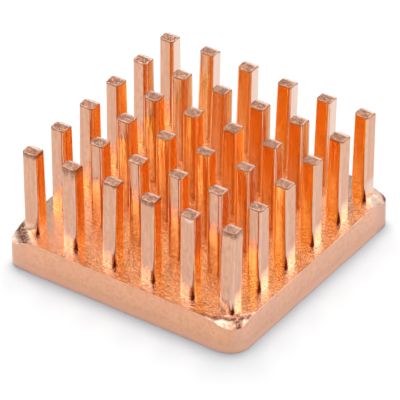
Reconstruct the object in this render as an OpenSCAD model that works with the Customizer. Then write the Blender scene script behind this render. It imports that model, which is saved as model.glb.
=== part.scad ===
// Cold-forged copper pin fin heat sink: one square base with a field of slim square pins, all
// one piece of metal. Millimetres, +Z up, origin under the middle of the base.

/* [Base plate] */
// Side of the square base
base_side = 14; // [13:0.1:16]
// Thickness of the base
base_thickness = 1.88; // [1.5:0.01:2.4]
// Width of the bevel that softens the upper edge of the base
base_upper_bevel = 0.08; // [0.04:0.01:0.16]
// Width of the bevel round the underside
base_lower_bevel = 0.12; // [0.06:0.01:0.2]

/* [Base corners] */
// Radius of the front corner, at +X -Y
front_corner_radius = 1.2; // [0.8:0.1:1.8]
// Radius of the left corner, at -X -Y
left_corner_radius = 0.7; // [0.5:0.1:1.6]
// Radius of the right corner, at +X +Y
right_corner_radius = 0.7; // [0.5:0.1:1.6]
// Radius of the back corner, at -X +Y
back_corner_radius = 1.2; // [0.5:0.1:1.6]

/* [Under-filled corners] */
// Width of the sloping land where the metal did not fill the corner of the die
corner_land_width = 0.7; // [0.3:0.05:0.9]
// How far the land falls at the front corner
front_corner_fall = 0.42; // [0.1:0.02:0.5]
// How far the land falls at the left corner
left_corner_fall = 0.34; // [0.1:0.02:0.4]
// How far the land falls at the right corner
right_corner_fall = 0.4; // [0.1:0.02:0.4]
// How far the land falls at the back corner
back_corner_fall = 0.2; // [0.1:0.02:0.4]

/* [Pins] */
// Pins along each side of the base
pins_per_side = 6; // [4:1:7]
// Clear width of base left outside the outer pins
edge_margin = 0.63; // [0.6:0.01:0.8]
// Height of the pins above the base
pin_height = 5.11; // [3:0.01:7]
// Side of a pin at its root
pin_root_side = 0.9; // [0.87:0.01:0.98]
// Side of a pin at its tip
pin_tip_side = 0.84; // [0.7:0.01:0.86]
// Radius the upright edges of a pin are rounded to
pin_edge_radius = 0.18; // [0.1:0.01:0.24]

/* [Pin roots and tips] */
// Width of the small flare where a pin grows out of the base
root_flare = 0.05; // [0.03:0.01:0.1]
// Bevel round the tip of a pin
tip_bevel = 0.05; // [0.03:0.01:0.1]
// Part of the tip that stays level before it falls away towards the back
tip_level_share = 0.6; // [0.4:0.05:0.8]
// How far the back of the tip falls
tip_back_fall = 0.05; // [0.02:0.01:0.08]

/* [Hidden] */
base_half = base_side / 2;
pin_pitch = (base_side - 2 * edge_margin - pin_root_side) / (pins_per_side - 1);
first_pin = -(pins_per_side - 1) * pin_pitch / 2;
root_half = pin_root_side / 2;
tip_half = pin_tip_side / 2;
// The pins start a little down inside the base, under the lowest of the corner lands
pin_sink = base_thickness / 2;
// Two flats at 30 and 60 degrees make each rounded upright edge
edge_turn = 30;
// Distance from a rounded corner's arc to the sharp corner it replaces, for a radius of 1
corner_gap = sqrt(2) - 1;
copper = [0.80, 0.47, 0.34];

// ---------- base plate ----------

// Side outline of the plate, with both of its bevels
module plate_outline() {
    polygon([
        [-base_half + base_lower_bevel, 0],
        [base_half - base_lower_bevel, 0],
        [base_half, base_lower_bevel],
        [base_half, base_thickness - base_upper_bevel],
        [base_half - base_upper_bevel, base_thickness],
        [-base_half + base_upper_bevel, base_thickness],
        [-base_half, base_thickness - base_upper_bevel],
        [-base_half, base_lower_bevel]
    ]);
}

// Square plate, bevelled along its straight edges
module square_plate() {
    intersection() {
        rotate([90, 0, 0])
            linear_extrude(height = 2 * base_side, center = true)
                plate_outline();
        rotate([90, 0, 90])
            linear_extrude(height = 2 * base_side, center = true)
                plate_outline();
    }
}

// Round post that carries the same bevels round a corner
module corner_post(radius) {
    rotate_extrude($fn = 64)
        polygon([
            [0, 0],
            [radius - base_lower_bevel, 0],
            [radius, base_lower_bevel],
            [radius, base_thickness - base_upper_bevel],
            [radius - base_upper_bevel, base_thickness],
            [0, base_thickness]
        ]);
}

// The waste outside one rounded corner, for a corner at +X +Y
module corner_waste(radius) {
    translate([base_half - radius, base_half - radius, 0])
        difference() {
            translate([0, 0, -1])
                cube([radius + 1, radius + 1, base_thickness + 2]);
            corner_post(radius);
        }
}

// Wedge above the sloping land of one corner, for a corner at +X +Y
module corner_land(radius, fall) {
    reach = corner_gap * radius + corner_land_width;
    slope = atan(fall / corner_land_width);
    translate([base_half, base_half, base_thickness])
        rotate([0, 0, 45])
            translate([-reach, 0, 0])
                rotate([0, slope, 0])
                    translate([0, -base_half / 2, 0])
                        cube([base_half / 2, base_half, base_thickness]);
}

// Everything one corner loses
module corner_cut(turn, radius, fall) {
    rotate([0, 0, turn]) {
        corner_waste(radius);
        corner_land(radius, fall);
    }
}

module base_plate() {
    difference() {
        square_plate();
        corner_cut(0, right_corner_radius, right_corner_fall);
        corner_cut(90, back_corner_radius, back_corner_fall);
        corner_cut(180, left_corner_radius, left_corner_fall);
        corner_cut(270, front_corner_radius, front_corner_fall);
    }
}

// ---------- pins ----------

// Distance from the pin's axis to the flat that faces the angle turn
function flat_reach(half, turn) =
    (half - pin_edge_radius) * (abs(cos(turn)) + abs(sin(turn))) + pin_edge_radius;

// Slab between two opposite flats: flared root, tapered shank, bevelled tip
module pin_slab(turn) {
    root = flat_reach(root_half, turn);
    tip = flat_reach(tip_half, turn);
    flare = root + root_flare;
    rotate([90, 0, turn])
        linear_extrude(height = 4 * pin_root_side, center = true)
            polygon([
                [-flare, -pin_sink],
                [flare, -pin_sink],
                [flare, 0],
                [root, root_flare],
                [tip, pin_height - tip_bevel],
                [tip - tip_bevel, pin_height],
                [-tip + tip_bevel, pin_height],
                [-tip, pin_height - tip_bevel],
                [-root, root_flare],
                [-flare, 0]
            ]);
}

// Ceiling of the tip: level at the front, falling away towards the back
module tip_ceiling() {
    ridge = (tip_level_share - 0.5) * pin_tip_side;
    back = 2 * pin_root_side;
    back_drop = tip_back_fall * (back - ridge) / (tip_half - ridge);
    rotate([90, 0, 90])
        linear_extrude(height = 4 * pin_root_side, center = true)
            polygon([
                [-back, -2 * pin_sink],
                [back, -2 * pin_sink],
                [back, pin_height - back_drop],
                [ridge, pin_height],
                [-back, pin_height]
            ]);
}

module pin() {
    intersection() {
        intersection_for(turn = [0 : edge_turn : 180 - edge_turn])
            pin_slab(turn);
        tip_ceiling();
    }
}

module pin_field() {
    for (row = [0 : pins_per_side - 1])
        for (column = [0 : pins_per_side - 1])
            translate([first_pin + column * pin_pitch, first_pin + row * pin_pitch, base_thickness])
                pin();
}

// ---------- whole part ----------

module heat_sink() {
    color(copper)
        union() {
            base_plate();
            pin_field();
        }
}

heat_sink();
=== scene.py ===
import math
import random
from collections import namedtuple

import bpy
from mathutils import Matrix, Vector, noise


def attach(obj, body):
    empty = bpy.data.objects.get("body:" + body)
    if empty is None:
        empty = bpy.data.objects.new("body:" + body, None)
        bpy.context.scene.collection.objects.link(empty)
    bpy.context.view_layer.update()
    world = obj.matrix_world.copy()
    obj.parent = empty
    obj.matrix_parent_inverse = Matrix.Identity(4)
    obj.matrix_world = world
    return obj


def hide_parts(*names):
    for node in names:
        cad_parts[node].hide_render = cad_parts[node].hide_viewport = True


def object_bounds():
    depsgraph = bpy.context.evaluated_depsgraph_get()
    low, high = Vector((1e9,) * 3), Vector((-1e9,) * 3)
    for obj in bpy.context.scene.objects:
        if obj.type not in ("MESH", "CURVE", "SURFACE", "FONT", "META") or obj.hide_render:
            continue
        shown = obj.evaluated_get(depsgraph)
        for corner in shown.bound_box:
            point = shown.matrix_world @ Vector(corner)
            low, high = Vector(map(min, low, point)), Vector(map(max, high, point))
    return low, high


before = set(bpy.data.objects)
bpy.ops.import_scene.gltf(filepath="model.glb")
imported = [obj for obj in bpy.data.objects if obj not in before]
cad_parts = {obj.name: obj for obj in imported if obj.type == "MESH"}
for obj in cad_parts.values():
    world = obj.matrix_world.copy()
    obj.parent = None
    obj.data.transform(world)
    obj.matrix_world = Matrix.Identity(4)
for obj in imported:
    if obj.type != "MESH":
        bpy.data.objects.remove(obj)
cad_low, cad_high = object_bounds()

# ---------------------------------------------------------------- base, in millimetres

MM = 0.001
BASE_HALF = round(cad_high[0] / MM, 3)
BASE_THICKNESS = 1.88
UPPER_EDGE_RADIUS = 0.02
LOWER_EDGE_RADIUS = 0.035
# the lower edge is worn this much rounder at the left corner
LEFT_FOOT_WEAR = 0.12
# how far the sides stand in from the true outline, so that their bulges stay inside it
SIDE_INSET = 0.018

# x and y are the signs of the corner's place. Its land is the slope that was left where the
# metal did not fill the die: fall is its drop at the corner, and land_width its width.
Corner = namedtuple("Corner", "x y radius fall land_width")
CORNERS = {
    "left": Corner(-1, -1, radius=0.62, fall=0.44, land_width=0.82),
    "front": Corner(1, -1, radius=1.20, fall=0.42, land_width=0.72),
    "right": Corner(1, 1, radius=0.70, fall=0.42, land_width=0.95),
    "back": Corner(-1, 1, radius=1.20, fall=0.20, land_width=0.45),
}
# each land's start wanders by this much
LAND_WANDER = 0.05
# the front land runs on to the left in a tail that reaches further in
FRONT_TAIL = 0.36
# depth of its brink, where it turns steep, how much nearer that is on the left, and the share
# of its fall that is even all the way, while the rest lies past the brink
FRONT_BRINK = 0.37
FRONT_BRINK_NEARER = 0.24
FRONT_EVEN_FALL = 0.42
# how rough the right land is, as a share of the others
RIGHT_ROUGHNESS = 0.4
# the left land has a raised, burnished lip this far before its start
LEFT_LIP_AHEAD = 0.17
LEFT_LIP_WIDTH = 0.12
LEFT_LIP_HEIGHT = 0.03

# torn bands on the lands: depths at which one starts and ends, and half the width of its fade
TORN_FADE = 0.04
TORN_BANDS = {
    "left": (0.02, 0.55, 0.2),
    "back": (0.0, 0.3, TORN_FADE),
    "right": (0.75, 1.1, TORN_FADE),
}
FRONT_TORN_WIDTH = 0.24

# ---------------------------------------------------------------- pins, in millimetres

PINS = 6
PIN_PITCH = 2.368
TIP_PITCH = 2.388
PIN_HEIGHT = 5.1
PIN_ROOT_HALF = 0.45
PIN_TIP_HALF = 0.421
PIN_EDGE_RADIUS = 0.175
ROOT_FLARE = 0.004
TIP_BEVEL = 0.04
FIRST_PIN = -(PINS - 1) * PIN_PITCH / 2
FIRST_TIP = -(PINS - 1) * TIP_PITCH / 2
# each row's roots are set back by this much more than those of the row behind it
ROW_STEP = 0.054

# all tips stand off their straight place, to the camera's right, with a little scatter
TIP_SHIFT_RIGHT = 0.02
TIP_SCATTER = 0.012
# and some by this much more: to the right, and up
PIN_DRIFT = {
    (0, 0): (0.0, -0.08),
    (0, 2): (0.04, 0.0),
    (1, 2): (-0.03, 0.06),
    (1, 3): (-0.04, 0.06),
    (1, 5): (0.08, 0.07),
    (2, 0): (0.10, 0.02),
    (2, 1): (-0.03, -0.08),
    (2, 4): (0.06, 0.0),
    (2, 5): (0.06, 0.04),
    (3, 5): (0.07, -0.03),
    (4, 5): (0.06, -0.01),
    (5, 0): (0.06, 0.06),
    (5, 2): (-0.03, -0.06),
    (5, 3): (0.0, -0.05),
    (5, 4): (0.03, -0.05),
}

# the one tip with a scoop under its near edge: its centre right of the pin's axis and down from
# the tip, its half width and half height, its depth, and how much its ends turn up
SCOOPED_PIN = (4, 0)
SCOOP_RIGHT = 0.13
SCOOP_DOWN = 0.24
SCOOP_HALF_WIDTH = 0.22
SCOOP_HALF_HEIGHT = 0.09
SCOOP_DEPTH = 0.06
SCOOP_BEND = 0.06

# height below which a flank stays bare, by how many pins stand between it and the outside; above it
# the flank takes the painted reflection, a duller, pinker copper for where it mirrors the open
# ground, and past the second pin that doesn't reach it at all
OVER_TIPS = 9.0
BARE_BELOW = (0.6, 2.6) + (PINS - 2) * (OVER_TIPS,)
SIDEWAYS_BARE_BELOW = (0.9, 4.2) + (PINS - 2) * (OVER_TIPS,)

# how far the brown smears reach down from the tips
PIN_SMEARS = {(0, 0): 0.45, (1, 0): 0.95, (2, 0): 0.3, (3, 0): 0.5, (5, 0): 0.6, (5, 4): 0.2}
OTHER_SMEARS = 0.1
STAINED_FOOT = (5, 0)

# strength of the painted highlight, a paler copper standing in for bright reflections, at each of
# its places
FAR_PAINTED_HIGHLIGHT = 0.6
INNER_PAINTED_HIGHLIGHT = 0.35
EDGE_PAINTED_HIGHLIGHT = 0.4
FOOT_PAINTED_REFLECTION = 0.5
SCOOP_PAINTED_HIGHLIGHT = 0.85

# ---------------------------------------------------------------- mesh fineness

# segments along one side of a pin, and of those the ones in half a rounded edge
SIDE_STEPS = 12
HALF_EDGE_STEPS = 3
RING = 4 * SIDE_STEPS
# heights of a pin's rings, closest at its root and its tip, and steps over the tip's bevel
SHANK_LEVELS = (0.0, 0.018, 0.04, 0.07, 0.11, 0.17, 0.26, 0.4, 0.6, 0.9, 1.3, 1.8, 2.3, 2.8)
SHANK_LEVELS += (3.3, 3.75, 4.1, 4.4, 4.6, 4.7, 4.77, 4.83, 4.88, 4.93, 4.98, 5.02)
BEVEL_STEPS = 3
# rings of the base's upper surface, from a pin's root to the border of its share
FLOOR_BLENDS = (0.05, 0.13, 0.24, 0.37, 0.52, 0.68, 0.84, 1.0)
# rings of the sides, from their upper edge to their lower one, and steps round each edge
SIDE_LEVELS = (0.04, 0.1, 0.2, 0.32, 0.45, 0.58, 0.7, 0.8, 0.88, 0.95)
EDGE_STEPS = 4

# material slots of the forging
FLANK, TIP, FLOOR, SIDE, LAND = range(5)
# its vertex marks: brown stain, torn scar, handling haze and bloom, and with them painted light on
# the sides, painted shade on the flanks, and painted reflections and highlights
MARKS = ("stain", "scar", "haze", "bloom")

# ---------------------------------------------------------------- view

# turn and height of the camera, its roll, its target and distance, and its lens in millimetres
VIEW_AZIMUTH = math.radians(34.75)
VIEW_ELEVATION = math.radians(36.20)
VIEW_ROLL = math.radians(-0.21)
VIEW_TARGET = Vector((-2.036, 2.944, 0.04)) * MM
VIEW_DISTANCE = 290.0 * MM
VIEW_LENS = 509.6
SENSOR_WIDTH = 36.0
CLIP_START = 0.01
CLIP_END = 10.0
# level directions to the camera's right and away from it
VIEW_RIGHT = Vector((math.cos(VIEW_AZIMUTH), math.sin(VIEW_AZIMUTH), 0))
VIEW_AWAY = Vector((-math.sin(VIEW_AZIMUTH), math.cos(VIEW_AZIMUTH), 0))

# ---------------------------------------------------------------- studio

# the ground's colour, the light that falls on it in the open, and its level to the eye
GROUND_COLOUR = (0.95, 0.885, 0.84)
LIGHT_LEVEL = 1.09
GROUND_LEVEL = 1.14
GROUND_REACH = 0.6
GROUND_GAP = 0.01 * MM
# strength of the surround's light on matt surfaces
WORLD_PLAIN = 0.21

SOFTBOX_TURN = 180.0
SOFTBOX_HEIGHT = 77.5
SOFTBOX_SIDE = 0.15
SOFTBOX_RADIANCE = 7.9
SOFTBOX_DISTANCE = 0.25

# a patch of the surround that the metal mirrors, in degrees: its turn to the right from the
# camera's own side, its height, and its outer and inner spread
Patch = namedtuple("Patch", "turn height outer inner")
# brighter and duller ones, each with the level that it adds to the surround's own 1
GLOWS = (
    (Patch(-88.0, 38.0, 36.0, 26.0), 2.8),
    (Patch(106.0, 38.0, 42.0, 28.0), 2.75),
    (Patch(180.0, 34.0, 52.0, 26.0), -0.15),
    (Patch(10.0, 66.0, 22.0, 15.0), 2.0),
)
# and the dark, warm front where the camera stands
FRONT = Patch(-15.0, 22.0, 49.0, 44.0)
FRONT_COLOUR = (0.80, 0.33, 0.12)

# ---------------------------------------------------------------- colours

# copper bright, paler, and as painted reflection, duller and pinker where a flank mirrors the open
# ground, and the tarnish in its stains
COPPER = (0.99, 0.62, 0.175)
COPPER_PALE = (0.99, 0.65, 0.24)
COPPER_PAINTED_REFLECTION = (0.76, 0.425, 0.29)
TARNISH = (0.30, 0.14, 0.09)

# flanks: streaks, bright and in the painted reflection; painted shade, ruddier low between the pins
# and deep red at the near edges' feet; and the pale painted highlight
BRIGHT_STREAK = (0.96, 0.52, 0.12)
PAINTED_REFLECTION_STREAK = (0.60, 0.30, 0.19)
RUDDY_PAINTED_SHADE = (0.62, 0.26, 0.12)
DEEP_RED_PAINTED_SHADE = (0.22, 0.05, 0.02)
PAINTED_HIGHLIGHT = (0.92, 0.76, 0.68)

# tips: the torn part and its marks, and the strip that broke away clean
TIP_DARK = (0.33, 0.145, 0.09)
TIP_BROWN = (0.57, 0.29, 0.18)
TIP_SPECKLE = (0.85, 0.56, 0.42)
TIP_TEAR = (0.20, 0.085, 0.05)
TIP_CLEAN = (0.90, 0.68, 0.58)
TIP_CLEAN_TEAR = (0.50, 0.28, 0.2)

# upper surface of the base, from dull to worn, with its cracks and the ridges between them
FLOOR_DULL = (0.44, 0.28, 0.205)
FLOOR_WORN = (0.55, 0.39, 0.30)
FLOOR_PIT = (0.24, 0.09, 0.045)
FLOOR_CRACK = (0.36, 0.15, 0.08)
FLOOR_RIDGE = (0.92, 0.62, 0.45)
FLOOR_FLOW = (0.78, 0.52, 0.35)
# a pale painted highlight along the left corner's lip, also used for the haze where the right land
# starts
FLOOR_LIP = (0.93, 0.72, 0.58)
FLOOR_BLOOM = (0.73, 0.47, 0.34)

# sides of the base: plain, painted light on the side that faces +x, their patterns, worn places,
# the paler painted light of the foot and left lip, and scuffed places
SIDE_TONE = (0.88, 0.48, 0.305)
SIDE_FACING_X_PAINTED_LIGHT = (0.80, 0.485, 0.36)
SIDE_CLOUD = (0.90, 0.54, 0.34)
SIDE_BLOT = (0.78, 0.39, 0.235)
SIDE_GRAIN = (0.68, 0.34, 0.20)
SIDE_WORN = (0.55, 0.27, 0.16)
SIDE_PALE_PAINTED_LIGHT = (1.0, 0.59, 0.42)
SIDE_SCUFF = (0.62, 0.39, 0.32)

# corner lands: smooth, handled, and torn
LAND_TONE = (0.84, 0.56, 0.42)
LAND_PALE = (0.92, 0.70, 0.58)
LAND_HAZE = (0.62, 0.41, 0.33)
LAND_TORN = (0.13, 0.05, 0.025)
LAND_TORN_PALE = (0.38, 0.20, 0.14)

# ---------------------------------------------------------------- helpers

rng = random.Random(14)


def smooth(low, high, x):
    """0 below low, 1 above high, and a smooth ramp between."""
    t = min(1.0, max(0.0, (x - low) / (high - low)))
    return t * t * (3 - 2 * t)


def ripple(x, y, z=0.0, scale=1.0):
    """Even noise between about -1 and 1."""
    return noise.noise(Vector((x, y, z)) * scale)


# ---------------------------------------------------------------- surface of the base


def across_front(x, y):
    """How far a point lies to the right of the front corner's diagonal."""
    return (x + y) / math.sqrt(2)


def from_left_corner(x, y):
    """Distance from where the outline's straight sides would meet at the left corner."""
    return math.hypot(x + BASE_HALF, y + BASE_HALF)


def land_depth(x, y, name):
    """How far a point lies past the start of a corner's sloping land, towards the corner."""
    corner = CORNERS[name]
    reach = (math.sqrt(2) - 1) * corner.radius + corner.land_width
    if name == "front":
        reach += FRONT_TAIL * smooth(0.9, 1.5, -across_front(x, y))
    return (x * corner.x + y * corner.y) / math.sqrt(2) - (BASE_HALF * math.sqrt(2) - reach)


def front_brink(x, y):
    """Depth at which the front corner's torn metal ends and its clean slope begins."""
    left_side = max(-1.0, min(0.0, across_front(x, y)))
    return FRONT_BRINK + FRONT_BRINK_NEARER * left_side + 0.03 * ripple(x, y, 1.0, 5.0)


def land_drop(x, y):
    """Height lost on the sloping lands at the corners."""
    drop = 0.0
    for name, corner in CORNERS.items():
        depth = land_depth(x, y, name)
        if depth <= -0.3:
            continue
        depth += LAND_WANDER * ripple(x, y, 3.0, 3.0)
        torn = 0.035 * ripple(x, y, 9.0, 6.0) + 0.02 * ripple(x, y, 4.0, 13.0)
        share = max(0.0, depth / corner.land_width)
        if name == "front":
            brink = front_brink(x, y) / corner.land_width
            torn *= 1 - smooth(brink, brink + 0.1, share)
            past_brink = max(0.0, share - brink) / (1 - brink)
            share = FRONT_EVEN_FALL * share + (1 - FRONT_EVEN_FALL) * past_brink
        elif name == "right":
            torn *= RIGHT_ROUGHNESS
        drop += corner.fall * share + torn * smooth(0, 0.1, depth)
        if name == "left":
            off_lip = (depth + LEFT_LIP_AHEAD) / LEFT_LIP_WIDTH
            drop -= LEFT_LIP_HEIGHT * math.exp(-off_lip * off_lip)
    return drop


def base_top(x, y):
    """Height of the base's upper surface."""
    lumps = 0.012 * ripple(x, y, 0.0, 0.9) + 0.006 * ripple(x, y, 5.0, 2.6)
    edge = BASE_HALF - max(abs(x), abs(y))
    sag = 0.008 * math.exp(-max(0.0, edge) / 0.12)
    return BASE_THICKNESS + lumps - sag - land_drop(x, y)


def scar_at(x, y):
    """Torn, darker metal along the base's edges and where the corner lands start."""
    edge = BASE_HALF - max(abs(x), abs(y))
    scar = math.exp(-max(0.0, edge) / 0.09) * (0.45 + 0.8 * ripple(x, y, 2.0, 3.0))
    brink = front_brink(x, y)
    bands = {**TORN_BANDS, "front": (brink - FRONT_TORN_WIDTH, brink, TORN_FADE)}
    for name, (start, end, fade) in bands.items():
        depth = land_depth(x, y, name) + 0.06 * ripple(x, y, 2.0, 6.0)
        begun = smooth(start - TORN_FADE, start + TORN_FADE, depth)
        scar = max(scar, begun * (1 - smooth(end - fade, end + fade, depth)))
    if land_depth(x, y, "front") > -0.1:
        across = across_front(x, y) + 0.1 * ripple(x, y, 6.0, 7.0)
        scar = max(scar, smooth(-0.02, 0.04, across) * (1 - smooth(0.35, 0.5, across)))
    return max(0.0, scar)


def land_haze_and_lip_highlight(x, y):
    """The hazed, handled land of the right corner, and the painted highlight along the raised lip
    of the left one.
    """
    off_lip = (land_depth(x, y, "left") + LEFT_LIP_AHEAD) / 0.2
    painted_lip_highlight = 0.9 * math.exp(-(off_lip ** 4))
    return max(painted_lip_highlight, smooth(-0.1, 0.1, land_depth(x, y, "right")))


def floor_bloom(x, y):
    """Paler metal on the upper surface, towards the left corner."""
    return 0.5 * smooth(1.0, 5.5, -x) * smooth(1.0, 6.0, -y)


# ---------------------------------------------------------------- outline of the base

# four sides, each as its own direction, the outward one, and the corners at its ends
SIDES = (
    ((1, 0), (0, -1), "left", "front"),
    ((0, 1), (1, 0), "front", "right"),
    ((-1, 0), (0, 1), "right", "back"),
    ((0, -1), (-1, 0), "back", "left"),
)


def grid_line(k):
    """Place of the k-th line between the pins, counting the base's own edges as 0 and 6."""
    if k == 0:
        return -BASE_HALF
    if k == PINS:
        return BASE_HALF
    return FIRST_PIN + (k - 0.5) * PIN_PITCH


def corner_path(radius, step):
    """Point number step on the way from the middle of a corner's arc to the first grid line,
    as (place along the side, angle still to turn), counted from the side's own start."""
    arc = radius * math.pi / 4
    straight = grid_line(1) + BASE_HALF - radius
    arc_steps = max(4, round(SIDE_STEPS * arc / (arc + straight)))
    if step <= arc_steps:
        turn = math.pi / 4 * (1 - step / arc_steps)
        return -BASE_HALF + radius, turn
    along = (step - arc_steps) / (SIDE_STEPS - arc_steps)
    return -BASE_HALF + radius + along * straight, 0.0


def outline_point(side, cell, step, inset):
    """A point on the base's outline, moved in by inset, with the outward direction there."""
    tangent, normal, start, end = SIDES[side]
    flip = 1
    if cell == 0:
        radius = CORNERS[start].radius
        place, turn = corner_path(radius, step)
    elif cell == PINS - 1:
        radius = CORNERS[end].radius
        place, turn = corner_path(radius, SIDE_STEPS - step)
        flip = -1
    else:
        low, high = grid_line(cell), grid_line(cell + 1)
        radius = 1.0
        place = low + (high - low) * step / SIDE_STEPS
        turn = 0.0
    out_t, out_n = -math.sin(turn) * flip, math.cos(turn)
    t = place * flip + (radius - inset) * out_t
    n = BASE_HALF - radius + (radius - inset) * out_n
    point = Vector((tangent[0] * t + normal[0] * n, tangent[1] * t + normal[1] * n, 0))
    out_x = tangent[0] * out_t + normal[0] * out_n
    out_y = tangent[1] * out_t + normal[1] * out_n
    return point, Vector((out_x, out_y, 0))


# ---------------------------------------------------------------- mesh book-keeping


class Shell:
    """Vertices, faces and marks of the forging while it is being built."""

    def __init__(self):
        self.points = []
        self.faces = []
        self.slots = []
        self.marks = {name: [] for name in MARKS}
        self.by_place = {}

    def add(self, point, **marks):
        """Adds a vertex, with each mark at 0 unless it is given, and returns its number."""
        self.points.append(Vector(point))
        for name in MARKS:
            self.marks[name].append(marks.get(name, 0.0))
        return len(self.points) - 1

    def weld(self, point, **marks):
        """A vertex that neighbouring patches share, found again by its place."""
        key = (round(point[0], 4), round(point[1], 4))
        if key not in self.by_place:
            self.by_place[key] = self.add(point, **marks)
        return self.by_place[key]

    def face(self, corners, slot):
        """Adds a face with the material of that slot."""
        self.faces.append(corners)
        self.slots.append(slot)

    def strip(self, lower, upper, slot):
        """Quads between two closed rings that run counter-clockwise seen from outside."""
        count = len(lower)
        for k in range(count):
            n = (k + 1) % count
            self.face((lower[k], lower[n], upper[n], upper[k]), slot)


# ---------------------------------------------------------------- pins


def square_ring(half, radius):
    """A rounded square, counter-clockwise from the middle of its (-x, -y) edge."""
    points = []
    inner = half - radius
    flat_steps = SIDE_STEPS - 2 * HALF_EDGE_STEPS
    for side in range(4):
        turn = side * math.pi / 2
        for step in range(SIDE_STEPS):
            x, y = -inner, -half
            if step < HALF_EDGE_STEPS:
                angle = -math.pi / 4 * (1 - step / HALF_EDGE_STEPS)
                x = -inner + radius * math.sin(angle)
                y = -inner - radius * math.cos(angle)
            elif step <= SIDE_STEPS - HALF_EDGE_STEPS:
                x = -inner + 2 * inner * (step - HALF_EDGE_STEPS) / flat_steps
            else:
                angle = math.pi / 4 * (step - SIDE_STEPS + HALF_EDGE_STEPS) / HALF_EDGE_STEPS
                x = inner + radius * math.sin(angle)
                y = -inner - radius * math.cos(angle)
            turned_x = x * math.cos(turn) - y * math.sin(turn)
            turned_y = x * math.sin(turn) + y * math.cos(turn)
            points.append((turned_x, turned_y))
    return points


def facing(offset, start=0.6):
    """1 on the flank at that offset from a pin's axis, fading out on the pin's rounded edge."""
    return smooth(start, start + 0.25, offset / PIN_ROOT_HALF)


def painted_reflection_above(level, bare, least):
    """Painted reflection that grows from its least value to 1 about the height below which a flank
    is bare.
    """
    return least + (1 - least) * smooth(bare - 0.45, bare + 0.1, level)


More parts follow.
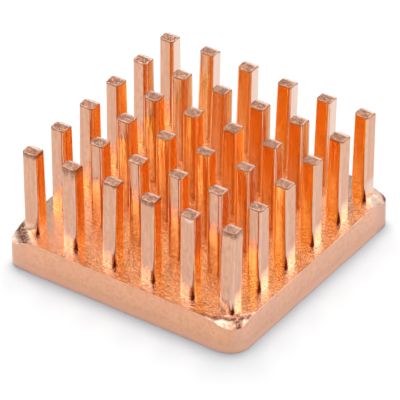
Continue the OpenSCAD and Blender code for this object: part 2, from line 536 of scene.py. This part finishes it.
class Pin:
    """One pin of the field, with its own small departures from the true form."""

    def __init__(self, column, row):
        self.key = (column, row)
        root = Vector((FIRST_PIN + column * PIN_PITCH, FIRST_PIN + row * PIN_PITCH, 0))
        root += VIEW_AWAY * ROW_STEP * (PINS - 1 - row)
        self.x, self.y = root.x, root.y
        right, up = PIN_DRIFT.get(self.key, (0, 0))
        right = right + TIP_SHIFT_RIGHT + rng.uniform(-TIP_SCATTER, TIP_SCATTER)
        away = rng.uniform(-TIP_SCATTER, TIP_SCATTER)
        tip = Vector((FIRST_TIP + column * TIP_PITCH, FIRST_TIP + row * TIP_PITCH, 0))
        tip += VIEW_RIGHT * right + VIEW_AWAY * away
        self.lean = tip - root
        self.height = PIN_HEIGHT + up + rng.uniform(-0.01, 0.01)
        self.twist = rng.uniform(-0.02, 0.02)
        self.ridge = rng.uniform(0.06, 0.16)
        self.back_fall = rng.uniform(0.1, 0.16)
        self.front_fall = rng.uniform(0.0, 0.04)
        self.tilt = rng.uniform(-0.03, 0.03)
        self.seed = 10.0 * column + 70.0 * row
        self.size = rng.uniform(0.985, 1.015)

    def tip_relief(self, x, y):
        """Height of the sheared tip over its flat form: a ridge, falling to both sides."""
        behind, ahead = max(0.0, y - self.ridge), max(0.0, self.ridge - y)
        fall = self.back_fall * behind / 0.3 + self.front_fall * ahead / 0.5
        lumps = 0.008 * ripple(x, y, self.seed, 5.0) + 0.004 * ripple(x, y, self.seed, 14.0)
        return -fall + self.tilt * x + lumps

    def flank_wave(self, x, y, level):
        """Small draw marks that run up the flanks, in and out of the true face."""
        along = math.atan2(y, x)
        cos, sin = math.cos(along), math.sin(along)
        wave = 0.0022 * ripple(3.2 * cos, 3.2 * sin, self.seed + 0.12 * level, 1.6)
        fine = 0.0008 * ripple(9 * cos, 9 * sin, self.seed + 0.2 * level, 1.7)
        swell = 0.006 * ripple(cos, sin, self.seed + 0.35 * level, 1.0)
        return 1 + (wave + fine + swell) / PIN_ROOT_HALF

    def shank_ring(self, level, inset=0.0):
        """Points of the pin at a height above the base, before its lean."""
        share = level / PIN_HEIGHT
        half = PIN_ROOT_HALF + (PIN_TIP_HALF - PIN_ROOT_HALF) * share
        flare = ROOT_FLARE * math.exp(-level / 0.055) + 0.012 * math.exp(-level / 0.4)
        half = half * self.size + flare
        shrink = (half - inset) / half
        points = []
        for x, y in square_ring(half, PIN_EDGE_RADIUS * (1 + 30 * flare)):
            stretch = self.flank_wave(x, y, level)
            points.append((x * stretch * shrink, y * stretch * shrink))
        return points

    def place(self, x, y, level):
        """A point of the pin in the part's own place, leaned and twisted."""
        share = level / PIN_HEIGHT
        angle = self.twist * share
        px = x * math.cos(angle) - y * math.sin(angle)
        py = x * math.sin(angle) + y * math.cos(angle)
        bend = share ** 1.3
        return Vector((self.x + px + self.lean.x * bend, self.y + py + self.lean.y * bend, 0))

    def scoop(self, x, y, level):
        """Depth of the small scoop under the near edge of one tip."""
        if self.key != SCOOPED_PIN or y > 0:
            return 0.0
        across = (x - SCOOP_RIGHT) / SCOOP_HALF_WIDTH
        below = self.height - level - SCOOP_DOWN + SCOOP_BEND * across * across
        below /= SCOOP_HALF_HEIGHT
        return SCOOP_DEPTH * math.exp(-across * across) * math.exp(-below * below)

    def build(self, shell):
        """Adds the pin and returns the ring of its root, which the base joins."""
        rings = []
        for level in SHANK_LEVELS:
            level = level * self.height / PIN_HEIGHT
            ring = []
            for x, y in self.shank_ring(level):
                point = self.place(x, y + self.scoop(x, y, level), level)
                sunk = base_top(point.x, point.y) - BASE_THICKNESS
                point.z = BASE_THICKNESS + level + sunk * (1 - smooth(0.0, 0.35, level))
                point.z += self.tip_relief(x, y) * smooth(3.9, 4.9, level)
                ring.append(shell.add(point, **self.marks(x, y, level)))
            rings.append(ring)
        for step in range(1, BEVEL_STEPS + 1):
            angle = math.pi / 2 * step / BEVEL_STEPS
            inset = TIP_BEVEL * (1 - math.cos(angle))
            level = self.height - TIP_BEVEL * (1 - math.sin(angle))
            ring = []
            for x, y in self.shank_ring(level, inset):
                point = self.place(x, y, level)
                point.z = BASE_THICKNESS + level + self.tip_relief(x, y)
                ring.append(shell.add(point, **self.marks(x, y, level)))
            rings.append(ring)
        for lower, upper in zip(rings[:-1], rings[1:]):
            shell.strip(lower, upper, FLANK)
        self.cap(shell, rings[-1])
        return rings[0]

    def cap(self, shell, ring):
        """Closes the tip with a grid, blended in from its four sides and raised to the ridge."""
        n = SIDE_STEPS
        grid = [[None] * (n + 1) for _ in range(n + 1)]
        for k in range(n + 1):
            grid[0][k] = ring[k]
            grid[k][n] = ring[n + k]
            grid[n][k] = ring[(3 * n - k) % RING]
            grid[k][0] = ring[(4 * n - k) % RING]
        at = shell.points
        corner = (at[grid[0][0]], at[grid[0][n]], at[grid[n][0]], at[grid[n][n]])
        middle_x = self.x + self.lean.x
        middle_y = self.y + self.lean.y
        for v in range(1, n):
            for u in range(1, n):
                s, t = u / n, v / n
                point = (
                    at[grid[0][u]] * (1 - t)
                    + at[grid[n][u]] * t
                    + at[grid[v][0]] * (1 - s)
                    + at[grid[v][n]] * s
                    - corner[0] * (1 - s) * (1 - t)
                    - corner[1] * s * (1 - t)
                    - corner[2] * (1 - s) * t
                    - corner[3] * s * t
                )
                relief = self.tip_relief(point.x - middle_x, point.y - middle_y)
                point.z = BASE_THICKNESS + self.height + relief
                behind = point.y - middle_y - self.ridge + 0.05 * ripple(point.x, point.y, 1.0, 6.0)
                grid[v][u] = shell.add(point, stain=1.0, haze=smooth(0.0, 0.06, behind))
        for v in range(n):
            for u in range(n):
                quad = (grid[v][u], grid[v][u + 1], grid[v + 1][u + 1], grid[v + 1][u])
                shell.face(quad, TIP)

    def marks(self, x, y, level):
        """All the marks of a point of the pin."""
        return {
            "stain": self.stain(x, y, level),
            "haze": self.haze(x, y, level),
            "bloom": self.bloom(x, y, level),
            "scar": self.scar(x, y, level),
        }

    def stain(self, x, y, level):
        """Brown smears that run down from the tips, their dark rims, and one stained foot."""
        reach = PIN_SMEARS.get(self.key, OTHER_SMEARS)
        ragged = reach * (0.75 + 0.5 * ripple(4 * x, 4 * y, self.seed, 1.5))
        below = self.height - level
        smear = 1 - smooth(0.3 * ragged, ragged, below)
        rim = 0.5 * (below < 1.2 * TIP_BEVEL)
        foot = 0.0
        if self.key == STAINED_FOOT and y < 0:
            upper_end = 0.66 - 1.1 * (x + PIN_ROOT_HALF) + 0.1 * ragged
            foot = 0.9 * smooth(0.0, 0.12, upper_end - level)
        return max(foot, smear) + rim

    def haze(self, x, y, level):
        """Painted reflection: a duller, pinker copper on the parts of the flanks that face out past
        the other pins and mirror the open ground.
        """
        column, row = self.key
        last = PINS - 1
        near_bare = min(BARE_BELOW[row], SIDEWAYS_BARE_BELOW[column])
        near_least = 0.5 if row == 0 or column == 0 else 0.1
        right_bare = min(BARE_BELOW[last - row], BARE_BELOW[last - column] + 0.3)
        right_least = 0.5 if row == last or column == last else 0.0
        haze = max(
            facing(-y) * painted_reflection_above(level, near_bare, near_least),
            facing(x) * painted_reflection_above(level, right_bare, right_least),
        )
        if column == 0:
            haze = max(haze, facing(-x, start=0.55))
        if row == last:
            haze = max(haze, facing(y, start=0.55))
        return haze

    def scar(self, x, y, level):
        """Painted shade: ruddier metal low on the near faces that stand behind other pins, up to 1,
        and a dark red shade, up to 2, at the foot of the near edge of the outer pins."""
        column, row = self.key
        if row == 0 or column == PINS - 1:
            to_edge = min(x, -y) / PIN_ROOT_HALF
            on_edge = smooth(0.58 + 0.3 * level, 0.78 + 0.2 * level, to_edge)
            return 2 * on_edge * (1 - smooth(0.7, 1.0, level))
        if column == 0:
            return 0.0
        if row == PINS - 1:
            return 0.3 * facing(-y) * (1 - smooth(0.5, 2.5, level))
        return facing(-y) * (0.7 - 0.5 * smooth(1.0, 4.0, level))

    def bloom(self, x, y, level):
        """Painted highlights, a paler copper, on the far pins, along the near faces' edges, on the
        outer pins' feet, and in the scoop."""
        column, row = self.key
        near, right = facing(-y), facing(x)
        below = self.height - level
        return max(
            FAR_PAINTED_HIGHLIGHT * right * (row == PINS - 1 and column < PINS - 1),
            INNER_PAINTED_HIGHLIGHT * near * (row >= PINS - 2 and 0 < column < 3),
            EDGE_PAINTED_HIGHLIGHT * near * smooth(0.7, 0.95, abs(x) / PIN_ROOT_HALF),
            FOOT_PAINTED_REFLECTION * self.foot_painted_reflection(x, y, level),
            SCOOP_PAINTED_HIGHLIGHT * smooth(0.008, 0.035, self.scoop(x, y, level)) * (below > 0.15),
        )

    def foot_painted_reflection(self, x, y, level):
        """Where the feet of the outer pins are pale with a painted reflection: not on the edge
        between two flanks.
        """
        column, row = self.key
        foot = 0.0
        if self.key == (0, 0):
            foot = 1 - smooth(0.3, 0.6, level)
        elif row == 0:
            off_edge = 1 - smooth(0.62, 0.8, x / PIN_ROOT_HALF)
            foot = facing(-y) * (1 - smooth(0.7, 1.0, level)) * off_edge
        if column == PINS - 1:
            off_edge = 1 - smooth(0.62, 0.8, -y / PIN_ROOT_HALF)
            foot = max(foot, facing(x) * (1 - smooth(0.9, 1.2, level)) * off_edge)
        return foot


# ---------------------------------------------------------------- base


def cell_line(axis, across, step, low, high):
    """A point on a line between two pins' shares, kept inside the base's own edges."""
    inner = BASE_HALF - UPPER_EDGE_RADIUS
    low, high = max(low, -inner), min(high, inner)
    place = low + (high - low) * step / SIDE_STEPS
    return Vector((place, across, 0)) if axis == "x" else Vector((across, place, 0))


def cell_border(column, row):
    """Ring of points round one pin's share of the base, counter-clockwise from (-x, -y)."""
    x0, x1 = grid_line(column), grid_line(column + 1)
    y0, y1 = grid_line(row), grid_line(row + 1)
    last = PINS - 1
    # each side: whether it is the base's own, its side and cell there, or else its line, from
    # where to where that runs, and whether it is walked backwards
    sides = (
        (row == 0, 0, column, ("x", y0), x0, x1, False),
        (column == last, 1, row, ("y", x1), y0, y1, False),
        (row == last, 2, last - column, ("x", y1), x0, x1, True),
        (column == 0, 3, last - row, ("y", x0), y0, y1, True),
    )
    border = []
    for outer, side, cell, (axis, across), low, high, backwards in sides:
        for step in range(SIDE_STEPS):
            if outer:
                border.append(outline_point(side, cell, step, UPPER_EDGE_RADIUS)[0])
            else:
                place = SIDE_STEPS - step if backwards else step
                border.append(cell_line(axis, across, place, low, high))
    return border


def build_floor(shell, pin, root):
    """Upper surface of the base round one pin, from its root out to its border."""
    border = cell_border(*pin.key)
    start = [shell.points[k].copy() for k in root]
    rings = [root]
    for blend in FLOOR_BLENDS:
        add = shell.weld if blend == 1.0 else shell.add
        ring = []
        for k in range(RING):
            point = start[k].lerp(border[k], blend)
            point.z = base_top(point.x, point.y)
            marks = {
                "scar": scar_at(point.x, point.y),
                "haze": land_haze_and_lip_highlight(point.x, point.y),
                "bloom": floor_bloom(point.x, point.y),
            }
            ring.append(add(point, **marks))
        rings.append(ring)
    for inner, outer in zip(rings[:-1], rings[1:]):
        for k in range(RING):
            n = (k + 1) % RING
            quad = (outer[k], outer[n], inner[n], inner[k])
            middle = sum((shell.points[c] for c in quad), Vector()) / 4
            on_land = any(land_depth(middle.x, middle.y, c) > 0 for c in CORNERS)
            shell.face(quad, LAND if on_land else FLOOR)


def side_point(station, top, inset, z):
    """A point of the sides and its marks. The sides bulge a little, and their upper edge is worn
    and nicked. Here the stain mark is painted light: a paler foot against the darker ground it
    mirrors, and a painted highlight along the left corner's lip. The haze mark is the painted light
    of the side that faces +x, and the bloom mark the duller scuffs at the left and right corners."""
    point, outward = outline_point(*station, inset)
    bulge = 0.014 * ripple(point.x, point.y, 4.0 + 0.6 * z, 0.8)
    bulge += 0.004 * ripple(point.x, point.y, 8.0 + z, 3.0)
    nick = max(0.0, ripple(point.x, point.y, 7.0, 3.0) - 0.25)
    worn = math.exp(-(top - z) / 0.06)
    point -= outward * (SIDE_INSET - bulge + 0.06 * nick * worn)
    point.z = z - 0.05 * nick * worn
    painted_lip_highlight = math.exp(-((from_left_corner(point.x, point.y) / 1.1) ** 4)) * worn
    right_scuff = smooth(5.2, 6.7, point.y) * smooth(5.5, 6.9, point.x)
    left_scuff = 0.5 * smooth(5.0, 6.9, -point.x) * smooth(5.5, 6.9, -point.y)
    marks = {
        # painted light: the paler foot, and a highlight along the left corner's lip
        "stain": max(painted_lip_highlight, 1 - smooth(0.1, 0.6, z)),
        "scar": (worn - painted_lip_highlight) * (0.4 + 2 * nick),
        # painted light: the side that faces +x gets its own duller, pinker tone
        "haze": smooth(0.64, 0.74, outward.x),
        "bloom": max(right_scuff, left_scuff),
    }
    return point, marks


def side_profile(top, foot):
    """Insets and heights down one section of the sides, with a lower edge of radius foot."""
    edge = UPPER_EDGE_RADIUS
    quarter = [math.pi / 2 * step / EDGE_STEPS for step in range(EDGE_STEPS + 1)]
    upper = [(edge * (1 - math.sin(a)), top - edge * (1 - math.cos(a))) for a in quarter[1:]]
    side = [(0.0, (top - edge) * (1 - share) + foot * share) for share in SIDE_LEVELS]
    lower = [(foot * (1 - math.cos(a)), foot * (1 - math.sin(a))) for a in quarter]
    return upper + side + lower


def build_rim(shell):
    """Rounded upper edge, side faces, rounded lower edge and underside."""
    stations = []
    for side in range(4):
        for cell in range(PINS):
            stations += [(side, cell, step) for step in range(SIDE_STEPS)]
    first = []
    profiles = []
    for station in stations:
        point, _ = outline_point(*station, UPPER_EDGE_RADIUS)
        point.z = base_top(point.x, point.y)
        marks = {"scar": scar_at(point.x, point.y), "haze": land_haze_and_lip_highlight(point.x, point.y)}
        first.append(shell.weld(point, **marks))
        start = shell.points[first[-1]]
        worn = 1 - smooth(0.3, 1.3, from_left_corner(start.x, start.y))
        profiles.append(side_profile(start.z, LOWER_EDGE_RADIUS + LEFT_FOOT_WEAR * worn))
    rings = [first]
    for level in range(len(profiles[0])):
        ring = []
        for station, top, profile in zip(stations, first, profiles):
            inset, z = profile[level]
            point, marks = side_point(station, shell.points[top].z, inset, z)
            ring.append(shell.add(point, **marks))
        rings.append(ring)
    for upper, lower in zip(rings[:-1], rings[1:]):
        shell.strip(lower, upper, SIDE)
    shell.face(tuple(reversed(rings[-1])), SIDE)


def build_forging():
    """The whole heat sink as one mesh."""
    shell = Shell()
    for row in range(PINS):
        for column in range(PINS):
            pin = Pin(column, row)
            root = pin.build(shell)
            build_floor(shell, pin, root)
    build_rim(shell)
    mesh = bpy.data.meshes.new("forging")
    mesh.from_pydata([p * MM for p in shell.points], [], shell.faces)
    mesh.update()
    for name in MARKS:
        layer = mesh.attributes.new(name, "FLOAT", "POINT")
        layer.data.foreach_set("value", shell.marks[name])
    piece = bpy.data.objects.new("forged_heat_sink", mesh)
    bpy.context.scene.collection.objects.link(piece)
    for maker in (flank_copper, tip_copper, floor_copper, side_copper, land_copper):
        mesh.materials.append(maker())
    for polygon, slot in zip(mesh.polygons, shell.slots):
        polygon.material_index = slot
        polygon.use_smooth = True
    crease_edges(mesh)
    return piece


def crease_edges(mesh):
    """Keeps a crisp line where the pins' flanks and the sides meet the base's upper surface."""
    kinds = {}
    for polygon in mesh.polygons:
        for key in polygon.edge_keys:
            kinds.setdefault(key, set()).add(polygon.material_index)
    for edge in mesh.edges:
        kind = kinds[edge.key]
        upper = bool(kind & {FLOOR, LAND})
        edge.use_edge_sharp = upper and bool(kind & {FLANK, SIDE})


# ---------------------------------------------------------------- materials

# sockets of the Mix node when it mixes colours
MIX_FACTOR = 0
MIX_COLOURS = (6, 7)
MIX_RESULT = 2


class Nodes:
    """Short hand for building the node tree of a material or a world."""

    def __init__(self, owner):
        self.owner = owner
        owner.use_nodes = True
        self.tree = owner.node_tree
        self.tree.nodes.clear()

    def add(self, kind, **settings):
        """A new shader node, with its inputs fed from the dict that inputs gives."""
        node = self.tree.nodes.new("ShaderNode" + kind)
        inputs = settings.pop("inputs", {})
        for key, value in settings.items():
            setattr(node, key, value)
        for key, value in inputs.items():
            self.feed(node, key, value)
        return node

    def feed(self, node, key, value):
        """Links another node's socket to an input, or sets a plain value on it."""
        if isinstance(value, bpy.types.NodeSocket):
            self.tree.links.new(value, node.inputs[key])
        else:
            node.inputs[key].default_value = value

    def place(self, scale, turn):
        """Object coordinates in millimetres, turned about the upright, then stretched."""
        coordinates = self.add("TexCoord")
        turned = self.add("Mapping", inputs={"Vector": coordinates.outputs["Object"]})
        turned.inputs["Rotation"].default_value = (0, 0, math.radians(turn))
        mapping = self.add("Mapping", inputs={"Vector": turned.outputs["Vector"]})
        mapping.inputs["Scale"].default_value = [s / MM for s in scale]
        return mapping.outputs["Vector"]

    def noise(self, scale, size, detail=3.0, roughness=0.55, distortion=0.0, turn=0.0):
        """Noise with features of about size millimetres, squeezed by scale along each axis."""
        node = self.add(
            "TexNoise",
            inputs={
                "Vector": self.place(scale, turn),
                "Scale": 1 / size,
                "Detail": detail,
                "Roughness": roughness,
                "Distortion": distortion,
            },
        )
        return node.outputs["Fac"]

    def spread(self, value, low, high, at_low=0.0, at_high=1.0):
        """The value's range from low to high, stretched from at_low to at_high."""
        node = self.add(
            "MapRange",
            inputs={
                "Value": value,
                "From Min": low,
                "From Max": high,
                "To Min": at_low,
                "To Max": at_high,
            },
        )
        return node.outputs["Result"]

    def mark(self, name):
        """One of the forging's own vertex marks."""
        node = self.add("Attribute", attribute_name=name)
        return node.outputs["Fac"]

    def mix(self, factor, first, second):
        """The first colour where the factor is 0, and the second where it is 1."""
        node = self.add("Mix", data_type="RGBA")
        self.feed(node, MIX_FACTOR, factor)
        for key, value in zip(MIX_COLOURS, (first, second)):
            self.feed(node, key, (*value, 1) if isinstance(value, tuple) else value)
        return node.outputs[MIX_RESULT]

    def tint(self, colour, other, pattern, low, high, most=1.0):
        """The colour, turned by up to most into the other as a pattern goes from low to high."""
        return self.mix(self.spread(pattern, low, high, 0.0, most), colour, other)

    def math(self, operation, first, second):
        """One step of arithmetic."""
        node = self.add("Math", operation=operation)
        self.feed(node, 0, first)
        self.feed(node, 1, second)
        return node.outputs[0]

    def bump(self, height, depth, normal=None):
        """Bump whose height runs from 0 to 1 over depth millimetres."""
        inputs = {"Height": height, "Strength": 1.0, "Distance": depth * MM}
        if normal is not None:
            inputs["Normal"] = normal
        return self.add("Bump", inputs=inputs).outputs["Normal"]

    def metal(self, colour, roughness, normal):
        """Finishes a material as metal, and returns it."""
        inputs = {"Metallic": 1.0, "Base Color": colour, "Roughness": roughness, "Normal": normal}
        shader = self.add("BsdfPrincipled", inputs=inputs)
        self.add("OutputMaterial", inputs={"Surface": shader.outputs["BSDF"]})
        return self.owner


def flank_copper():
    """Bright drawn flanks, with faint streaks that run up the pin, and the painted reflection,
    shade and highlights that the marks lay on them.
    """
    n = Nodes(bpy.data.materials.new("flank_copper"))
    streaks = n.noise((1, 1, 0.03), 0.13, detail=2.0)
    broad = n.noise((1, 1, 0.1), 0.5, detail=1.0)
    grain = n.noise((1, 1, 0.35), 0.16, roughness=0.65)
    smear = n.noise((1, 1, 0.6), 0.12, detail=4.0)
    streaked = n.spread(streaks, 0.42, 0.6, 0.0, 0.5)
    grained = n.spread(grain, 0.46, 0.62, 0.0, 0.6)
    dark = n.math("MAXIMUM", streaked, grained)
    bright = n.tint(COPPER, COPPER_PALE, broad, 0.35, 0.65)
    bright = n.mix(dark, bright, BRIGHT_STREAK)
    # painted shade: ruddier copper low on the flanks between the pins
    bright = n.mix(n.mark("scar"), bright, RUDDY_PAINTED_SHADE)
    painted_reflection = n.mix(dark, COPPER_PAINTED_REFLECTION, PAINTED_REFLECTION_STREAK)
    # painted reflection: the duller, pinker copper of the flanks where they mirror the open ground
    colour = n.mix(n.mark("haze"), bright, painted_reflection)
    # painted highlight: paler copper where the flanks stand in for bright reflections
    colour = n.mix(n.mark("bloom"), colour, PAINTED_HIGHLIGHT)
    # painted shade: deep red at the foot of the outer pins' near edges
    colour = n.tint(colour, DEEP_RED_PAINTED_SHADE, n.mark("scar"), 1.0, 1.8)
    stain = n.math("MULTIPLY", n.mark("stain"), n.spread(smear, 0.35, 0.6, 0.45, 1.0))
    colour = n.mix(stain, colour, TARNISH)
    roughness = n.spread(streaks, 0.3, 0.7, 0.04, 0.14)
    roughness = n.math("ADD", roughness, n.math("MULTIPLY", stain, 0.3))
    roughness = n.math("ADD", roughness, n.math("MULTIPLY", n.mark("bloom"), 0.25))
    normal = n.bump(streaks, 0.006, n.bump(grain, 0.003))
    return n.metal(colour, roughness, normal)


def tip_copper():
    """Sheared tips: brown and finely torn, with a paler strip that broke away clean."""
    n = Nodes(bpy.data.materials.new("tip_copper"))
    tears = n.noise((1.0, 3.4, 1), 0.13, distortion=0.3, turn=25)
    speckle = n.noise((1, 1, 1), 0.08, detail=2.0)
    patches = n.noise((1, 1, 1), 0.3, detail=2.0)
    torn = n.tint(TIP_DARK, TIP_BROWN, patches, 0.42, 0.58)
    torn = n.tint(torn, TIP_SPECKLE, speckle, 0.5, 0.62, 0.6)
    torn = n.tint(torn, TIP_TEAR, tears, 0.46, 0.58, 0.85)
    clean = n.tint(TIP_CLEAN, TIP_CLEAN_TEAR, tears, 0.5, 0.6, 0.7)
    colour = n.mix(n.mark("haze"), torn, clean)
    normal = n.bump(tears, 0.05, n.bump(speckle, 0.02))
    return n.metal(colour, 0.4, normal)


def floor_copper():
    """Upper surface of the base: half bright and finely cracked, with flow marks that swirl
    between the pins."""
    n = Nodes(bpy.data.materials.new("floor_copper"))
    swirl = n.noise((1, 1, 1), 0.32, detail=4.0, roughness=0.6, distortion=1.6)
    flow = n.noise((0.7, 2.2, 1), 0.2, distortion=0.7)
    pits = n.noise((1, 1, 1), 0.14, roughness=0.6)
    crackle = n.noise((1, 1, 1), 0.1, detail=2.0, roughness=0.6, distortion=1.2)
    colour = n.tint(FLOOR_DULL, FLOOR_WORN, swirl, 0.38, 0.62)
    colour = n.tint(colour, FLOOR_PIT, pits, 0.54, 0.66, 0.3)
    colour = n.tint(colour, FLOOR_CRACK, crackle, 0.52, 0.62, 0.5)
    colour = n.tint(colour, FLOOR_RIDGE, crackle, 0.46, 0.38, 0.5)
    colour = n.tint(colour, FLOOR_FLOW, flow, 0.54, 0.66, 0.6)
    # painted highlight along the left corner's lip, and the haze where the right land starts
    colour = n.mix(n.mark("haze"), colour, FLOOR_LIP)
    colour = n.mix(n.mark("bloom"), colour, FLOOR_BLOOM)
    colour = n.mix(n.mark("scar"), colour, TARNISH)
    roughness = n.math("ADD", 0.2, n.math("MULTIPLY", n.mark("haze"), 0.3))
    normal = n.bump(swirl, 0.012, n.bump(flow, 0.008, n.bump(crackle, 0.018)))
    return n.metal(colour, roughness, normal)


def side_copper():
    """Satin side faces with a fine grain, worn darker along the upper edge, with painted light on
    the side that faces +x, on the paler foot and along the left corner's lip.
    """
    n = Nodes(bpy.data.materials.new("side_copper"))
    cloud = n.noise((1, 1, 1), 1.1)
    blots = n.noise((1, 1, 1), 0.22, detail=4.0, roughness=0.65)
    grain = n.noise((1, 1, 1), 0.06)
    # painted light: the side that faces +x gets its own duller, pinker tone
    colour = n.mix(n.mark("haze"), SIDE_TONE, SIDE_FACING_X_PAINTED_LIGHT)
    colour = n.tint(colour, SIDE_CLOUD, cloud, 0.4, 0.7, 0.5)
    colour = n.tint(colour, SIDE_BLOT, blots, 0.45, 0.7, 0.8)
    colour = n.tint(colour, SIDE_GRAIN, grain, 0.5, 0.7, 0.35)
    worn = n.math("MULTIPLY", n.mark("scar"), n.spread(blots, 0.3, 0.7, 0.2, 1.0))
    colour = n.mix(worn, colour, SIDE_WORN)
    # painted light: a paler foot against the darker ground it mirrors, and a highlight along the
    # left corner's lip
    colour = n.mix(n.mark("stain"), colour, SIDE_PALE_PAINTED_LIGHT)
    colour = n.mix(n.mark("bloom"), colour, SIDE_SCUFF)
    normal = n.bump(cloud, 0.02, n.bump(grain, 0.005))
    return n.metal(colour, 0.48, normal)


def land_copper():
    """Sloping corner lands: smooth where the metal flowed free, torn where they start."""
    n = Nodes(bpy.data.materials.new("land_copper"))
    cloud = n.noise((1, 1, 1), 0.3)
    rough = n.noise((1, 1, 1), 0.16, distortion=0.6)
    colour = n.tint(LAND_TONE, LAND_PALE, cloud, 0.35, 0.65)
    colour = n.mix(n.mark("haze"), colour, LAND_HAZE)
    torn = n.tint(LAND_TORN, LAND_TORN_PALE, rough, 0.47, 0.60)
    colour = n.mix(n.mark("scar"), colour, torn)
    return n.metal(colour, 0.34, n.bump(rough, 0.03))


# ---------------------------------------------------------------- studio


def bearing(turn, height):
    """Unit vector to a place at a turn to the right from the camera's own side, and a height."""
    angle = VIEW_AZIMUTH - math.pi / 2 + math.radians(turn)
    height = math.radians(height)
    level = math.cos(height)
    return Vector((math.cos(angle) * level, math.sin(angle) * level, math.sin(height)))


def white_ground():
    """Ground that is white to the eye and to reflections, and keeps the part's shadow.
    It is a little warm under a cool glow, so the copper's own glow on it stays neutral."""
    n = Nodes(bpy.data.materials.new("white_ground"))
    diffuse = n.add("BsdfDiffuse", inputs={"Color": (*GROUND_COLOUR, 1)})
    path = n.add("LightPath")
    seen = n.math("ADD", path.outputs["Is Camera Ray"], path.outputs["Is Glossy Ray"])
    seen = n.math("ADD", seen, path.outputs["Is Transmission Ray"])
    lift = [GROUND_LEVEL - LIGHT_LEVEL * c for c in GROUND_COLOUR]
    glow = n.add("Emission", inputs={"Color": (*lift, 1), "Strength": seen})
    both = n.add("AddShader", inputs={0: diffuse.outputs[0], 1: glow.outputs[0]})
    n.add("OutputMaterial", inputs={"Surface": both.outputs[0]})
    return n.owner


def build_ground():
    """Plain level ground under the part."""
    reach = GROUND_REACH
    mesh = bpy.data.meshes.new("ground")
    corners = [(-reach, -reach, 0), (reach, -reach, 0), (reach, reach, 0), (-reach, reach, 0)]
    mesh.from_pydata(corners, [], [(0, 1, 2, 3)])
    mesh.materials.append(white_ground())
    floor = bpy.data.objects.new("studio_floor", mesh)
    bpy.context.scene.collection.objects.link(floor)
    floor.location.z = -GROUND_GAP


def mirrored_patch(n, direction, patch, strength):
    """A round patch of the surround: full inside its inner spread, none past its outer one."""
    centre = bearing(patch.turn, patch.height)
    towards = n.add("VectorMath", operation="DOT_PRODUCT", inputs={0: direction, 1: centre})
    outer, inner = math.cos(math.radians(patch.outer)), math.cos(math.radians(patch.inner))
    return n.spread(towards.outputs["Value"], outer, inner, 0.0, strength)


def build_world():
    """White all round, with the dark open front where the camera stands."""
    world = bpy.data.worlds.new("studio_world")
    bpy.context.scene.world = world
    n = Nodes(world)
    direction = n.add("TexCoord").outputs["Generated"]
    level = 1.0
    for patch, strength in GLOWS:
        level = n.math("ADD", mirrored_patch(n, direction, patch, strength), level)
    colour = n.mix(mirrored_patch(n, direction, FRONT, 1.0), level, FRONT_COLOUR)
    path = n.add("LightPath")
    mirrored = n.math("ADD", path.outputs["Is Glossy Ray"], path.outputs["Is Transmission Ray"])
    not_scattered = n.math("LESS_THAN", path.outputs["Diffuse Depth"], 0.5)
    mirrored = n.math("MULTIPLY", mirrored, not_scattered)
    colour = n.mix(mirrored, (1, 1, 1), colour)
    white = n.math("ADD", path.outputs["Is Camera Ray"], mirrored)
    strength = n.math("ADD", n.math("MULTIPLY", white, 1.0 - WORLD_PLAIN), WORLD_PLAIN)
    background = n.add("Background", inputs={"Color": colour, "Strength": strength})
    n.add("OutputWorld", inputs={"Surface": background.outputs[0]})


def build_softbox():
    """Soft lamp high behind the part, which the metal doesn't mirror."""
    light = bpy.data.lights.new("top_softbox", "AREA")
    light.shape = "SQUARE"
    light.size = SOFTBOX_SIDE
    light.energy = SOFTBOX_RADIANCE * math.pi * SOFTBOX_SIDE * SOFTBOX_SIDE
    direction = bearing(SOFTBOX_TURN, SOFTBOX_HEIGHT)
    lamp = bpy.data.objects.new("top_softbox", light)
    lamp.location = direction * SOFTBOX_DISTANCE
    lamp.visible_glossy = False
    lamp.rotation_euler = (-direction).to_track_quat("-Z", "Y").to_euler()
    bpy.context.scene.collection.objects.link(lamp)


def build_camera():
    """Camera above the front corner, rolled a little."""
    cos_e, sin_e = math.cos(VIEW_ELEVATION), math.sin(VIEW_ELEVATION)
    back = Vector((math.sin(VIEW_AZIMUTH) * cos_e, -math.cos(VIEW_AZIMUTH) * cos_e, sin_e))
    up = back.cross(VIEW_RIGHT)
    turn_right = VIEW_RIGHT * math.cos(VIEW_ROLL) + up * math.sin(VIEW_ROLL)
    turn_up = up * math.cos(VIEW_ROLL) - VIEW_RIGHT * math.sin(VIEW_ROLL)
    camera = bpy.data.cameras.new("camera")
    camera.lens = VIEW_LENS
    camera.sensor_width = SENSOR_WIDTH
    camera.clip_start = CLIP_START
    camera.clip_end = CLIP_END
    eye = bpy.data.objects.new("camera", camera)
    turned = Matrix((turn_right, turn_up, back)).transposed().to_4x4()
    eye.matrix_world = Matrix.Translation(VIEW_TARGET + back * VIEW_DISTANCE) @ turned
    bpy.context.scene.collection.objects.link(eye)
    bpy.context.scene.camera = eye


# ---------------------------------------------------------------- assembly

build_camera()
build_ground()
build_world()
build_softbox()
heat_sink = build_forging()
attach(heat_sink, "root")
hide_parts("heat_sink")

scene = bpy.context.scene
scene.view_settings.view_transform = "Standard"
scene.cycles.max_bounces = 16
scene.cycles.glossy_bounces = 12
